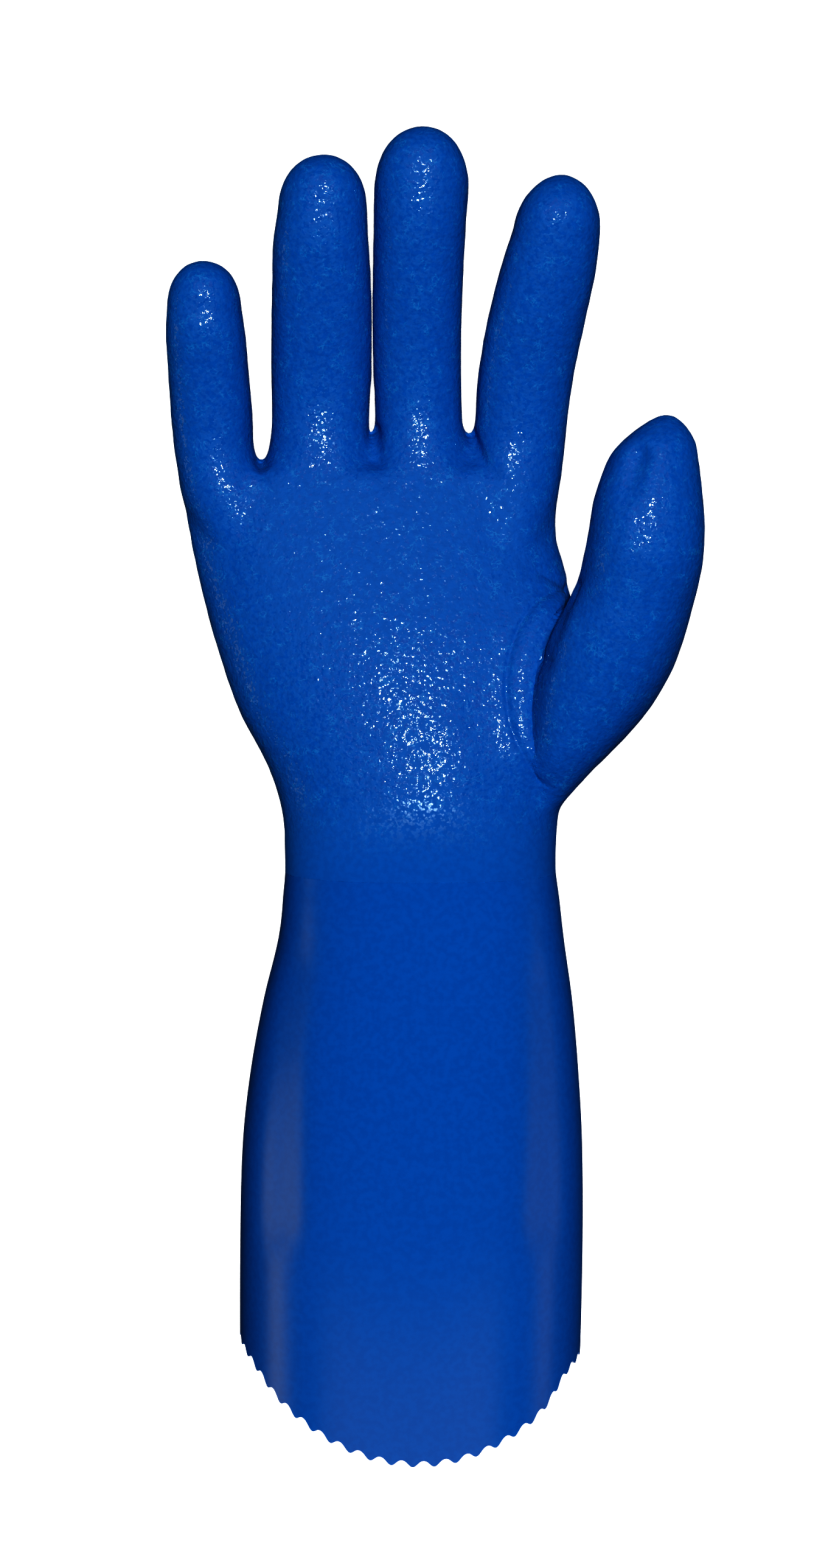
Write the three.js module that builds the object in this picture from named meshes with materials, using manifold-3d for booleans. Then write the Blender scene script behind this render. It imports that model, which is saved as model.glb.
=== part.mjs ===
// Long nitrile coated glove for a right hand. It lies on its back with the palm up.
// Millimetres. +X is the thumb's side, +Y is towards the fingertips and +Z is up, out of the palm.
import * as THREE from 'three';
import { mergeVertices } from 'three/addons/utils/BufferGeometryUtils.js';
import Module from 'manifold-3d';

const wasm = await Module();
wasm.setup();

// Coat and liner together, and the gap that parts two pieces of the coat
const WALL = 1.6;
const GAP = 0.3;
// How square a section is: 2 is an ellipse, more is boxier
const BODY_SQUARENESS = 2.3;
const DIGIT_SQUARENESS = 2.25;
// Sides of a section, and the distance between two sections along the glove
const HAND_SIDES = 32;
const DIGIT_SIDES = 18;
const SECTION_STEP = 11;
// Angles at which a rounded tip is cut into rings, in degrees
const TIP_ANGLES = [25, 48, 68, 82];

// The rough coat of the hand ends here, and the smooth cuff goes on to the rim
const COAT_END = -24;
// Palm core ends here, under the roots of the fingers
const PALM_END = 86;
// The rim: where it crosses the cuff's two sides, and how much further the palm and the back reach
const RIM_SIDE = -154.5;
const RIM_SLANT = -2.6;
const RIM_REACH = -22.5;
// How much shorter the rim is at the corners of its left and right side, and how wide a corner is
const CORNER_LIFT = { left: 1.2, right: 3.4 };
const CORNER_PLACE = 0.9;
const CORNER_WIDTH = 0.1;
const TEETH = 50;
const TOOTH_DEPTH = 1.35;
const SIDES_PER_TOOTH = 3;
const CUFF_RINGS = 6;

// The thumb's root: one plane through the web beside the palm, facing the tip of the thumb
const THUMB_ROOT = new THREE.Vector3(58, 44, 40);
const THUMB_FACING = new THREE.Vector3(0.62, 0.78, 0).normalize();
const CUTTER_SIZE = 400;

const COLUMNS = ['y', 'left', 'right', 'low', 'high'];

// Cuff, wrist and palm. A low below 0 is pressed flat on the surface that the glove lies on.
const BODY = table([
  [-180, -46.8, 48.0, -2.0, 70.0],
  [-130, -46.5, 48.9, -2.0, 68.3],
  [-100, -45.7, 48.7, -2.0, 65.3],
  [-80, -43.5, 47.6, -1.0, 62.3],
  [-60, -39.8, 45.8, 1.5, 58.8],
  [-40, -35.1, 43.0, 4.5, 55.8],
  [-20, -33.9, 41.2, 5.5, 53.3],
  [-8, -34.4, 41.9, 4.5, 51.7],
  [5, -38.7, 45.0, 1.0, 48.8],
  [20, -46.8, 49.0, -1.8, 45.2],
  [40, -53.7, 49.5, -2.5, 40.1],
  [52, -56.9, 45.1, -2.2, 36.8],
  [60, -58.8, 42.5, -1.5, 34.5],
  [67, -60.2, 41.3, -0.4, 32.4],
  [75, -61.6, 41.6, 1.0, 30.1],
  [82, -62.2, 42.2, 2.5, 28.0],
  [90, -60.5, 40.5, 6.0, 25.6],
]);

const THUMB = table([
  [-7, 32.0, 41.0, 19.0, 41.0],
  [3, 33.5, 49.5, 15.0, 46.5],
  [11, 34.5, 57.4, 13.0, 50.5],
  [20, 35.0, 65.0, 13.0, 54.0],
  [30, 36.5, 70.8, 15.0, 57.0],
  [40, 39.0, 74.3, 18.0, 59.0],
  [50, 42.8, 76.6, 23.5, 60.0],
  [56, 45.6, 77.8, 28.0, 61.0],
  [62, 46.7, 78.5, 31.0, 61.8],
  [70, 48.2, 78.7, 33.0, 61.2],
  [78, 49.4, 78.1, 34.0, 59.8],
  [88, 53.0, 76.9, 35.0, 57.0],
]);

const INDEX = table([
  [58, 14.0, 36.0, 9.0, 30.0],
  [80, 13.0, 42.3, 2.5, 27.8],
  [90, 17.1, 43.7, 4.2, 26.2],
  [96, 18.4, 44.1, 5.0, 25.9],
  [111, 19.4, 45.8, 7.5, 27.9],
  [126, 21.8, 48.7, 10.5, 32.3],
  [140, 25.3, 51.4, 13.0, 35.7],
  [150, 28.5, 52.2, 15.0, 37.5],
]);

const MIDDLE = table([
  [58, -10.0, 16.0, 9.0, 30.0],
  [80, -13.5, 20.0, 2.5, 27.4],
  [90, -10.4, 17.5, 3.5, 25.9],
  [98, -8.9, 15.5, 4.0, 24.6],
  [104, -9.0, 15.3, 4.6, 24.3],
  [117, -9.5, 15.0, 6.0, 26.1],
  [134, -9.5, 15.3, 8.5, 30.4],
  [152, -9.1, 16.1, 11.5, 34.4],
  [161, -9.0, 16.8, 13.0, 34.9],
]);

const RING = table([
  [58, -38.0, -12.0, 9.0, 30.0],
  [80, -42.2, -6.5, 2.5, 27.4],
  [90, -38.7, -8.6, 3.5, 26.1],
  [98, -37.6, -10.4, 4.0, 25.0],
  [106, -37.6, -10.2, 4.7, 24.9],
  [113, -37.8, -10.0, 5.7, 25.9],
  [129, -37.5, -9.9, 8.2, 29.7],
  [146, -36.6, -10.4, 11.0, 33.5],
  [156, -35.0, -10.8, 12.5, 33.8],
]);

const LITTLE = table([
  [54, -50.0, -34.0, 9.0, 28.0],
  [76, -61.7, -36.0, 2.8, 28.3],
  [86, -63.7, -40.6, 4.3, 26.9],
  [92, -64.5, -42.2, 5.0, 26.6],
  [100, -65.2, -42.5, 6.5, 27.1],
  [112, -65.6, -43.4, 8.8, 29.1],
  [123, -65.9, -44.1, 11.0, 31.5],
  [129, -65.5, -45.1, 12.0, 31.1],
]);

// Each digit: its sections, where it parts from the hand, how far the rounded tip reaches beyond
// the last section, how blunt the tip is, and how far its end leans sideways and up
const DIGITS = {
  index_finger: { rows: INDEX, parts: 100, tip: 14.4, blunt: 1.85, leanX: 1.0, leanZ: 1.5 },
  middle_finger: { rows: MIDDLE, parts: 102, tip: 16.3, blunt: 2.1, leanX: 0.3, leanZ: 1.5 },
  ring_finger: { rows: RING, parts: 102, tip: 14.0, blunt: 2.1, leanX: 0.4, leanZ: 1.5 },
  little_finger: { rows: LITTLE, parts: 92, tip: 13.1, blunt: 2.2, leanX: 0.1, leanZ: 1.2 },
};
const THUMB_FORM = { rows: THUMB, tip: 12.0, blunt: 1.42, leanX: 3.6, leanZ: 1.0 };

// Turns plain rows into objects with the named columns
function table(rows) {
  return rows.map((row) => Object.fromEntries(COLUMNS.map((name, i) => [name, row[i]])));
}

// One column of a table at any y: a smooth curve through the rows
function columnAt(rows, name, y) {
  const last = rows.length - 2;
  let i = 0;
  while (i < last && y > rows[i + 1].y) i += 1;
  const before = rows[Math.max(i - 1, 0)];
  const from = rows[i];
  const to = rows[i + 1];
  const after = rows[Math.min(i + 2, rows.length - 1)];
  const span = to.y - from.y;
  const t = (y - from.y) / span;
  const slopeFrom = ((to[name] - before[name]) / (to.y - before.y)) * span;
  const slopeTo = ((after[name] - from[name]) / (after.y - from.y)) * span;
  const rise = to[name] - from[name];
  const cubic = slopeFrom + slopeTo - 2 * rise;
  const square = 3 * rise - 2 * slopeFrom - slopeTo;
  return from[name] + t * (slopeFrom + t * (square + t * cubic));
}

function sectionAt(rows, y) {
  const [left, right, low, high] = ['left', 'right', 'low', 'high'].map((c) => columnAt(rows, c, y));
  return { y, left, right, low, high, floor: 0 };
}

// The section of the hollow: a wall's thickness further in, also over the flat underside
function hollow(section) {
  return {
    y: section.y,
    left: section.left + WALL,
    right: section.right - WALL,
    low: section.low + WALL,
    high: section.high - WALL,
    floor: WALL,
  };
}

// One point of a rounded section
function pointOn(section, angle, squareness) {
  const across = Math.cos(angle);
  const up = Math.sin(angle);
  const x = Math.sign(across) * Math.abs(across) ** (2 / squareness);
  const z = Math.sign(up) * Math.abs(up) ** (2 / squareness);
  return new THREE.Vector3(
    (section.left + section.right) / 2 + (x * (section.right - section.left)) / 2,
    section.y,
    Math.max((section.low + section.high) / 2 + (z * (section.high - section.low)) / 2, section.floor),
  );
}

function ringOf(section, sides, squareness) {
  return Array.from({ length: sides }, (_, i) => pointOn(section, (2 * Math.PI * i) / sides, squareness));
}

// Stations from one end to the other, about a step apart
function stations(from, to, step) {
  const count = Math.max(1, Math.round((to - from) / step));
  return Array.from({ length: count + 1 }, (_, i) => from + ((to - from) * i) / count);
}

// Joins ring to ring. A closed loft has its first and last ring filled, a tube's last ring is its first.
function joinRings(rings, closesOnItself) {
  const sides = rings[0].length;
  const points = rings.flat();
  const faces = [];
  const bands = closesOnItself ? rings.length : rings.length - 1;
  for (let k = 0; k < bands; k += 1) {
    const lower = k * sides;
    const upper = ((k + 1) % rings.length) * sides;
    for (let i = 0; i < sides; i += 1) {
      const next = (i + 1) % sides;
      faces.push(lower + i, upper + i, upper + next);
      faces.push(lower + i, upper + next, lower + next);
    }
  }
  if (!closesOnItself) {
    const top = (rings.length - 1) * sides;
    points.push(middleOf(rings[0]), middleOf(rings[rings.length - 1]));
    for (let i = 0; i < sides; i += 1) {
      const next = (i + 1) % sides;
      faces.push(points.length - 2, i, next);
      faces.push(points.length - 1, top + next, top + i);
    }
  }
  const geometry = new THREE.BufferGeometry();
  geometry.setAttribute('position', new THREE.Float32BufferAttribute(points.flatMap((p) => p.toArray()), 3));
  geometry.setIndex(faces);
  return geometry;
}

function middleOf(ring) {
  return ring.reduce((sum, p) => sum.add(p), new THREE.Vector3()).divideScalar(ring.length);
}

// The rounded tip beyond a digit's last section, as sections that shrink towards its end
function tipSections(form, last, reach) {
  return TIP_ANGLES.map((degrees) => {
    const along = Math.sin(THREE.MathUtils.degToRad(degrees));
    const size = (1 - along ** form.blunt) ** (1 / form.blunt);
    const x = (last.left + last.right) / 2 + form.leanX * along;
    const z = (last.low + last.high) / 2 + form.leanZ * along;
    const halfWidth = ((last.right - last.left) / 2) * size;
    const halfDepth = ((last.high - last.low) / 2) * size;
    return {
      y: last.y + reach * along,
      left: x - halfWidth,
      right: x + halfWidth,
      low: z - halfDepth,
      high: z + halfDepth,
      floor: last.floor,
    };
  });
}

// A digit from some y to its tip, as its outside or as its hollow
function digitLoft(form, from, isHollow) {
  const lastY = form.rows[form.rows.length - 1].y;
  const sections = stations(from, lastY, SECTION_STEP)
    .map((y) => sectionAt(form.rows, y))
    .map((section) => (isHollow ? hollow(section) : section));
  const last = sections[sections.length - 1];
  sections.push(...tipSections(form, last, isHollow ? form.tip - WALL : form.tip));
  return joinRings(sections.map((section) => ringOf(section, DIGIT_SIDES, DIGIT_SQUARENESS)), false);
}

// A stretch of a table as a closed loft, changed by a function of the section
function stretch(rows, from, to, sides, squareness, change = (section) => section) {
  const sections = stations(from, to, SECTION_STEP).map((y) => change(sectionAt(rows, y)));
  return joinRings(sections.map((section) => ringOf(section, sides, squareness)), false);
}

// A box that fills all that lies beyond the thumb's root, from some way in front of its plane
function beyondThumbRoot(ahead) {
  const box = new THREE.BoxGeometry(CUTTER_SIZE, CUTTER_SIZE, CUTTER_SIZE);
  box.deleteAttribute('normal');
  box.deleteAttribute('uv');
  const turn = new THREE.Quaternion().setFromUnitVectors(new THREE.Vector3(1, 0, 0), THUMB_FACING);
  const centre = THUMB_ROOT.clone().addScaledVector(THUMB_FACING, CUTTER_SIZE / 2 + ahead);
  box.applyMatrix4(new THREE.Matrix4().compose(centre, turn, new THREE.Vector3(1, 1, 1)));
  return solid(mergeVertices(box));
}

function solid(geometry) {
  return new wasm.Manifold(new wasm.Mesh({
    numProp: 3,
    vertProperties: new Float32Array(geometry.getAttribute('position').array),
    triVerts: new Uint32Array(geometry.index.array),
  }));
}

function geometryOf(body) {
  const mesh = body.getMesh();
  const geometry = new THREE.BufferGeometry();
  geometry.setAttribute('position', new THREE.Float32BufferAttribute(mesh.vertProperties, 3));
  geometry.setIndex(Array.from(mesh.triVerts));
  return geometry;
}

function piece(name, geometry, finish) {
  const mesh = new THREE.Mesh(geometry, finish);
  geometry.computeVertexNormals();
  mesh.name = name;
  return mesh;
}

// The rim's y at a point of the cuff: it reaches further over the palm and the back, and every
// tooth is an arc between two points
function rimAt(angle, index) {
  const side = Math.sign(Math.cos(angle)) * Math.abs(Math.cos(angle)) ** (2 / BODY_SQUARENESS);
  const throughTooth = (index % SIDES_PER_TOOTH) / SIDES_PER_TOOTH;
  const tooth = TOOTH_DEPTH * (2 * throughTooth - 1) ** 2;
  const corner = Math.exp(-(((Math.abs(side) - CORNER_PLACE) / CORNER_WIDTH) ** 2));
  const lift = corner * (side < 0 ? CORNER_LIFT.left : CORNER_LIFT.right);
  return RIM_SIDE + RIM_SLANT * side + RIM_REACH * (1 - side * side) + lift - tooth;
}

// One ring of the cuff, some share of the way from the end of the rough coat to the rim
function cuffRing(share, isHollow) {
  const sides = TEETH * SIDES_PER_TOOTH;
  const top = COAT_END - GAP;
  return Array.from({ length: sides }, (_, i) => {
    const angle = (2 * Math.PI * i) / sides;
    const section = sectionAt(BODY, top + (rimAt(angle, i) - top) * share);
    return pointOn(isHollow ? hollow(section) : section, angle, BODY_SQUARENESS);
  });
}

function gauntlet() {
  const shares = stations(0, 1, 1 / CUFF_RINGS);
  const outside = shares.map((share) => cuffRing(share, false)).reverse();
  const inside = shares.map((share) => cuffRing(share, true));
  return joinRings([...outside, ...inside], true);
}

// Palm and back, with the roots of the four fingers and the ball of the thumb, all hollow
function hand() {
  const below = COAT_END - WALL;
  let form = solid(stretch(BODY, COAT_END, PALM_END, HAND_SIDES, BODY_SQUARENESS));
  let space = solid(stretch(BODY, below, PALM_END - WALL, HAND_SIDES, BODY_SQUARENESS, hollow));
  for (const digit of Object.values(DIGITS)) {
    const start = digit.rows[0].y;
    form = form.add(solid(stretch(digit.rows, start, digit.parts, DIGIT_SIDES, DIGIT_SQUARENESS)));
    space = space.add(solid(digitLoft(digit, start, true)));
  }
  form = form.add(solid(digitLoft(THUMB_FORM, THUMB[0].y, false)).subtract(beyondThumbRoot(0)));
  space = space.add(solid(digitLoft(THUMB_FORM, THUMB[0].y + WALL, true)));
  return geometryOf(form.subtract(space));
}

// The thumb from its root to its tip
function thumb() {
  const form = solid(digitLoft(THUMB_FORM, THUMB[0].y, false)).intersect(beyondThumbRoot(GAP));
  return geometryOf(form.subtract(solid(digitLoft(THUMB_FORM, THUMB[0].y + WALL, true))));
}

function finger(digit) {
  const form = solid(digitLoft(digit, digit.parts + GAP, false));
  const space = solid(digitLoft(digit, digit.parts - WALL, true));
  return geometryOf(form.subtract(space));
}

const roughNitrile = new THREE.MeshStandardMaterial({ color: 0x00429a, roughness: 0.5, metalness: 0 });
const smoothNitrile = new THREE.MeshStandardMaterial({ color: 0x0046a6, roughness: 0.35, metalness: 0 });

const group = new THREE.Group();
group.add(piece('gauntlet', gauntlet(), smoothNitrile));
group.add(piece('hand', hand(), roughNitrile));
group.add(piece('thumb', thumb(), roughNitrile));
for (const [name, digit] of Object.entries(DIGITS)) {
  group.add(piece(name, finger(digit), roughNitrile));
}

// The origin is the middle of the surface under the glove
const box = new THREE.Box3().setFromObject(group);
group.position.set(-(box.min.x + box.max.x) / 2, -(box.min.y + box.max.y) / 2, -box.min.z);
export default group;
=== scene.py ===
"""Looks of a long nitrile coated glove, lying palm up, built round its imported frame.

Metres. +X is the thumb's side, +Y is towards the fingertips and +Z is up, out of the palm. The
glove is modelled in the frame of its own section tables, and each finished mesh is then moved
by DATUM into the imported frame.
"""

import logging
import math
from collections.abc import Callable
from dataclasses import dataclass, replace
from enum import Enum

import bmesh
import bpy
import numpy as np
from mathutils import Matrix, Vector


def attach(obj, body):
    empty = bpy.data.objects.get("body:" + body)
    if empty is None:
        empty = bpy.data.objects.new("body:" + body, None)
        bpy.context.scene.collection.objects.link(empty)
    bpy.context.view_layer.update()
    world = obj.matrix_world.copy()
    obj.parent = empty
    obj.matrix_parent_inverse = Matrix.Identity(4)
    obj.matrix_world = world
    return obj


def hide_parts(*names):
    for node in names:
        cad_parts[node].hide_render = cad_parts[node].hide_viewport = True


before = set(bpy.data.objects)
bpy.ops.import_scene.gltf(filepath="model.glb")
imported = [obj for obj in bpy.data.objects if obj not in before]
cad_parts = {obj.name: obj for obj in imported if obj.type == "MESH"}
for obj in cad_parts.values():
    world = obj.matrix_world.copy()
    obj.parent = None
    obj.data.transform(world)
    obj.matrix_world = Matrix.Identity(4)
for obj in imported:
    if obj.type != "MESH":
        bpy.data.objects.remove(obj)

log = logging.getLogger("glove")
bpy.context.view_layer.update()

# Where the tables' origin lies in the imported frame
DATUM = Vector((-0.00647, 0.00063, 0.0))
# Coat and liner together, and where the rough coat of the hand ends on the cuff
WALL = 0.0016
COAT_END = -0.024
# How square a section is: 2 is an ellipse, more is boxier
BODY_SQUARENESS = 2.3
DIGIT_SQUARENESS = 2.25
QUARTER_TURN = math.radians(90)
# Added to a length that may be 0 and is divided
TINY = 1e-9
# The sections of a digit's rounded tip, in degrees from its widest place towards its end
TIP_ANGLES = (12, 24, 36, 47, 57, 66, 74, 81, 86)
# The z of a normal, from where marks of the palm's side start to show to where they show in full
FACING = (-0.1, 0.3)

Pair = tuple[float, float]
Place = tuple[float, float, float]
Band = tuple[float, float, float, float]
Colour = tuple[float, float, float, float]


class Column(Enum):
    """The measures of one section, in the order of a table's row after its y."""

    LEFT = 1
    RIGHT = 2
    LOW = 3
    HIGH = 4


@dataclass(frozen=True)
class Section:
    """One cross-section of the glove, in a plane across its length."""

    y: float
    left: float
    right: float
    low: float
    high: float
    floor: float = 0.0

    @property
    def centre(self) -> Place:
        """The middle of the section."""
        return ((self.left + self.right) / 2, self.y, (self.low + self.high) / 2)

    @property
    def half_width(self) -> float:
        """Half the section's size along X."""
        return (self.right - self.left) / 2

    @property
    def half_depth(self) -> float:
        """Half the section's size along Z."""
        return (self.high - self.low) / 2

    def inset(self, by: float) -> "Section":
        """The section that lies further in by some thickness, and as much off the floor."""
        return Section(
            self.y, self.left + by, self.right - by, self.low + by, self.high - by, self.floor + by
        )


@dataclass(frozen=True)
class Profile:
    """A table of sections, and the smooth curves through it."""

    rows: tuple[tuple[float, float, float, float, float], ...]

    def column(self, column: Column, ys: np.ndarray) -> np.ndarray:
        """One measure of the table at many places.

        Args:
            column: The measure.
            ys: The places along the glove.

        Returns:
            The measure at each place.
        """
        table = np.array(self.rows)
        place, value = table[:, 0], table[:, column.value]
        i = np.clip(np.searchsorted(place, ys, side="left") - 1, 0, len(place) - 2)
        before, after = np.maximum(i - 1, 0), np.minimum(i + 2, len(place) - 1)
        span = place[i + 1] - place[i]
        t = (ys - place[i]) / span
        slope_from = (value[i + 1] - value[before]) / (place[i + 1] - place[before]) * span
        slope_to = (value[after] - value[i]) / (place[after] - place[i]) * span
        rise = value[i + 1] - value[i]
        cubic = slope_from + slope_to - 2 * rise
        square = 3 * rise - 2 * slope_from - slope_to
        return value[i] + t * (slope_from + t * (square + t * cubic))

    def at(self, y: float) -> Section:
        """The section at one place along the glove."""
        left, right, low, high = (float(self.column(c, np.array([y]))[0]) for c in Column)
        return Section(y, left, right, low, high)


# Cuff, wrist and palm: y, left, right, low, high. A low below 0 is pressed flat.
BODY = Profile((
    (-0.180, -0.0468, 0.0480, -0.0020, 0.0700),
    (-0.130, -0.0465, 0.0489, -0.0020, 0.0683),
    (-0.100, -0.0457, 0.0487, -0.0020, 0.0653),
    (-0.080, -0.0435, 0.0476, -0.0010, 0.0623),
    (-0.060, -0.0398, 0.0458, 0.0015, 0.0588),
    (-0.040, -0.0351, 0.0430, 0.0045, 0.0558),
    (-0.020, -0.0339, 0.0412, 0.0055, 0.0533),
    (-0.008, -0.0344, 0.0419, 0.0045, 0.0517),
    (0.005, -0.0387, 0.0450, 0.0010, 0.0488),
    (0.020, -0.0468, 0.0490, -0.0018, 0.0452),
    (0.040, -0.0537, 0.0495, -0.0025, 0.0401),
    (0.052, -0.0569, 0.0454, -0.0022, 0.0368),
    (0.060, -0.0588, 0.0437, -0.0015, 0.0345),
    (0.067, -0.0602, 0.0415, -0.0004, 0.0324),
    (0.075, -0.0616, 0.0416, 0.0010, 0.0301),
    (0.082, -0.0622, 0.0422, 0.0025, 0.0280),
    (0.090, -0.0605, 0.0405, 0.0060, 0.0256),
))


@dataclass(frozen=True)
class Digit:
    """A finger or the thumb: its sections, and the rounded tip beyond the last of them."""

    name: str
    profile: Profile
    tip: float
    blunt: float
    lean_x: float
    lean_z: float
    spread: float = 0.0


THUMB = Digit("thumb", Profile((
    (-0.007, 0.0320, 0.0410, 0.0190, 0.0410),
    (0.003, 0.0335, 0.0495, 0.0150, 0.0465),
    (0.011, 0.0345, 0.0574, 0.0130, 0.0505),
    (0.020, 0.0350, 0.0650, 0.0130, 0.0540),
    (0.030, 0.0365, 0.0708, 0.0150, 0.0570),
    (0.040, 0.0390, 0.0743, 0.0180, 0.0590),
    (0.050, 0.0428, 0.0766, 0.0235, 0.0600),
    (0.056, 0.0456, 0.0778, 0.0280, 0.0610),
    (0.062, 0.0467, 0.0785, 0.0310, 0.0618),
    (0.070, 0.0482, 0.0787, 0.0330, 0.0612),
    (0.078, 0.0494, 0.0781, 0.0340, 0.0598),
    (0.088, 0.0530, 0.0769, 0.0350, 0.0570),
)), tip=0.0120, blunt=1.42, lean_x=0.0036, lean_z=0.0010)

INDEX = Digit("index finger", Profile((
    (0.058, 0.0140, 0.0360, 0.0090, 0.0300),
    (0.080, 0.0130, 0.0423, 0.0025, 0.0278),
    (0.090, 0.0171, 0.0437, 0.0042, 0.0262),
    (0.096, 0.0184, 0.0441, 0.0050, 0.0259),
    (0.111, 0.0194, 0.0458, 0.0075, 0.0279),
    (0.126, 0.0218, 0.0487, 0.0105, 0.0323),
    (0.140, 0.0253, 0.0514, 0.0130, 0.0357),
    (0.150, 0.0285, 0.0522, 0.0150, 0.0375),
)), tip=0.0144, blunt=1.85, lean_x=0.0010, lean_z=0.0015)

MIDDLE = Digit("middle finger", Profile((
    (0.058, -0.0100, 0.0160, 0.0090, 0.0300),
    (0.080, -0.0135, 0.0200, 0.0025, 0.0274),
    (0.090, -0.0104, 0.0175, 0.0035, 0.0259),
    (0.098, -0.0089, 0.0155, 0.0040, 0.0246),
    (0.104, -0.0090, 0.0153, 0.0046, 0.0243),
    (0.117, -0.0095, 0.0150, 0.0060, 0.0261),
    (0.134, -0.0095, 0.0153, 0.0085, 0.0304),
    (0.152, -0.0091, 0.0161, 0.0115, 0.0344),
    (0.161, -0.0090, 0.0168, 0.0130, 0.0349),
)), tip=0.0163, blunt=2.1, lean_x=0.0003, lean_z=0.0015)

RING = Digit("ring finger", Profile((
    (0.058, -0.0380, -0.0120, 0.0090, 0.0300),
    (0.080, -0.0422, -0.0065, 0.0025, 0.0274),
    (0.090, -0.0387, -0.0086, 0.0035, 0.0261),
    (0.098, -0.0376, -0.0104, 0.0040, 0.0250),
    (0.106, -0.0376, -0.0102, 0.0047, 0.0249),
    (0.113, -0.0378, -0.0100, 0.0057, 0.0259),
    (0.129, -0.0375, -0.0099, 0.0082, 0.0297),
    (0.146, -0.0366, -0.0104, 0.0110, 0.0335),
    (0.156, -0.0350, -0.0108, 0.0125, 0.0338),
)), tip=0.0140, blunt=2.1, lean_x=0.0004, lean_z=0.0015, spread=-0.0030)

LITTLE = Digit("little finger", Profile((
    (0.054, -0.0500, -0.0340, 0.0090, 0.0280),
    (0.076, -0.0617, -0.0360, 0.0028, 0.0283),
    (0.086, -0.0637, -0.0406, 0.0043, 0.0269),
    (0.092, -0.0645, -0.0422, 0.0050, 0.0266),
    (0.100, -0.0652, -0.0425, 0.0065, 0.0271),
    (0.112, -0.0656, -0.0434, 0.0088, 0.0291),
    (0.123, -0.0659, -0.0441, 0.0110, 0.0315),
    (0.129, -0.0655, -0.0451, 0.0120, 0.0311),
)), tip=0.0131, blunt=2.2, lean_x=0.0001, lean_z=0.0012, spread=-0.0030)

DIGITS = (THUMB, INDEX, MIDDLE, RING, LITTLE)
# The ring and little fingers are modelled spread, and then drawn back to the middle finger.
# The spread grows between these two places along the glove, left of the gap's middle line.
SPREAD_FROM = 0.090
SPREAD_TO = 0.108
SPREAD_GAP_X = -0.0112
SPREAD_SOFT = 0.0012


def smooth_step(low: float, high: float, values: np.ndarray) -> np.ndarray:
    """A soft rise from 0 to 1 between two values, or a fall if low is the larger."""
    t = np.clip((values - low) / (high - low), 0.0, 1.0)
    return t * t * (3 - 2 * t)


def bump_at(centre: float, width: float, values: np.ndarray) -> np.ndarray:
    """A soft bump of height 1 round a value: a Gaussian of that width."""
    return np.exp(-(((values - centre) / width) ** 2))


@dataclass(frozen=True)
class SightLine:
    """The camera's place, and the level on which marks seen in the photo are measured."""

    eye: Vector = Vector((0.0, 0.0669, 0.6665))
    level: float = 0.030

    def seen(self, points: np.ndarray) -> np.ndarray:
        """Where points seem to lie on the level, seen from the eye.

        Args:
            points: Rows of x, y, z.

        Returns:
            Rows of x, y.
        """
        eye = np.array(self.eye)
        away = points - eye
        reach = (self.level - eye[2]) / away[:, 2]
        return eye[:2] + away[:, :2] * reach[:, None]


SIGHT = SightLine()


@dataclass(frozen=True)
class Crease:
    """A line pressed into the palm's side, followed where the camera sees it."""

    path: tuple[Pair, ...]
    depth: Pair
    width: Pair

    def nearest(self, seen: np.ndarray) -> tuple[np.ndarray, np.ndarray]:
        """The way from many places to the crease.

        Args:
            seen: Rows of x, y on the sight level.

        Returns:
            The distance of each place, and how far along the crease its nearest point lies.
        """
        corners = np.array(self.path)
        away = np.full(len(seen), np.inf)
        share = np.zeros(len(seen))
        for index, (start, end) in enumerate(zip(corners, corners[1:])):
            leg = end - start
            along = np.clip((seen - start) @ leg / (leg @ leg), 0.0, 1.0)
            reach = np.linalg.norm(seen - start - along[:, None] * leg, axis=1)
            share = np.where(reach < away, (index + along) / (len(corners) - 1), share)
            away = np.minimum(away, reach)
        return away, share

    def depth_at(self, seen: np.ndarray) -> np.ndarray:
        """How deep the crease is at many places on the sight level."""
        away, share = self.nearest(seen)
        width = self.width[0] + (self.width[1] - self.width[0]) * share
        depth = self.depth[0] + (self.depth[1] - self.depth[0]) * share
        return depth * np.exp(-((away / width) ** 2))


# Between the thumb and the strip along its seam: sharp at the web, then a soft valley
THUMB_CREASE = Crease(
    ((0.0456, 0.0550), (0.0440, 0.0490), (0.0422, 0.0420), (0.0392, 0.0331)),
    depth=(0.0026, 0.0009), width=(0.0013, 0.0020),
)
THUMB_VALLEY = Crease(
    ((0.0392, 0.0331), (0.0372, 0.0260), (0.0362, 0.0180), (0.0365, 0.0100)),
    depth=(0.0010, 0.0004), width=(0.0022, 0.0035),
)
WEB_FOLD = Crease(
    ((0.0433, 0.0539), (0.0380, 0.0570), (0.0325, 0.0588)),
    depth=(0.0009, 0.0002), width=(0.0012, 0.0016),
)
THUMB_TIP_DENT = Crease(
    ((0.0628, 0.0900), (0.0614, 0.0843), (0.0596, 0.0785)),
    depth=(0.0022, 0.0008), width=(0.0028, 0.0035),
)
CROTCH_FOLDS = (
    Crease(((-0.0396, 0.0875), (-0.0387, 0.0815)), depth=(0.0012, 0.0002), width=(0.0014, 0.0020)),
    Crease(
        ((-0.0088, 0.0965), (-0.0084, 0.0900), (-0.0060, 0.0820)),
        depth=(0.0010, 0.0002), width=(0.0015, 0.0028),
    ),
    Crease(
        ((0.0172, 0.0954), (0.0206, 0.0877), (0.0258, 0.0813)),
        depth=(0.0014, 0.0003), width=(0.0012, 0.0024),
    ),
)
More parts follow.
